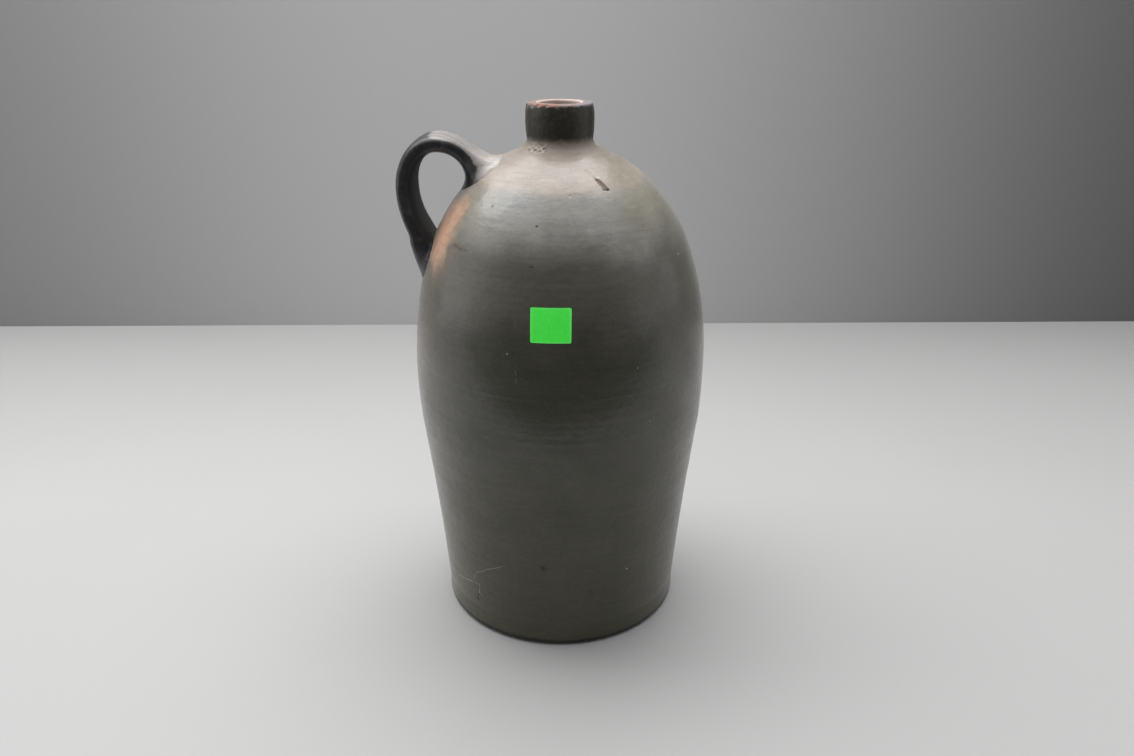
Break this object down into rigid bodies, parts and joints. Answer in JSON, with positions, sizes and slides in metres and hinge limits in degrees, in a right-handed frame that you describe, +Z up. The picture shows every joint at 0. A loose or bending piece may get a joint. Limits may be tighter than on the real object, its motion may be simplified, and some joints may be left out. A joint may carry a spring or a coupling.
{
  "type": "stoneware crock jug",
  "caption": "Salt-glazed stoneware jug: thrown shouldered body with a flat foot, short collared neck with an open mouth, and a pulled strap handle on the shoulder.",
  "frame": {"origin": "centre of the flat base, on the axis of the thrown body", "axes": "+Z up along the jug's axis towards the mouth, handle towards -X, label towards -Y"},
  "size_m": [0.1787, 0.1738, 0.31],
  "materials": {
    "body_glaze": "semi-gloss salt glaze over warm grey stoneware, lighter and warmer on the shoulder",
    "neck_glaze": "glossy dark olive-brown glaze, worn to bare pinkish clay on the rim",
    "handle_glaze": "glossy blue-black glaze",
    "label_paper": "matt green paper, blank"
  },
  "bodies": {
    "root": {"lower_body": "body_glaze", "upper_body": "body_glaze", "neck_collar": "neck_glaze", "handle": "handle_glaze", "price_label": "label_paper"}
  },
  "joints": []
}
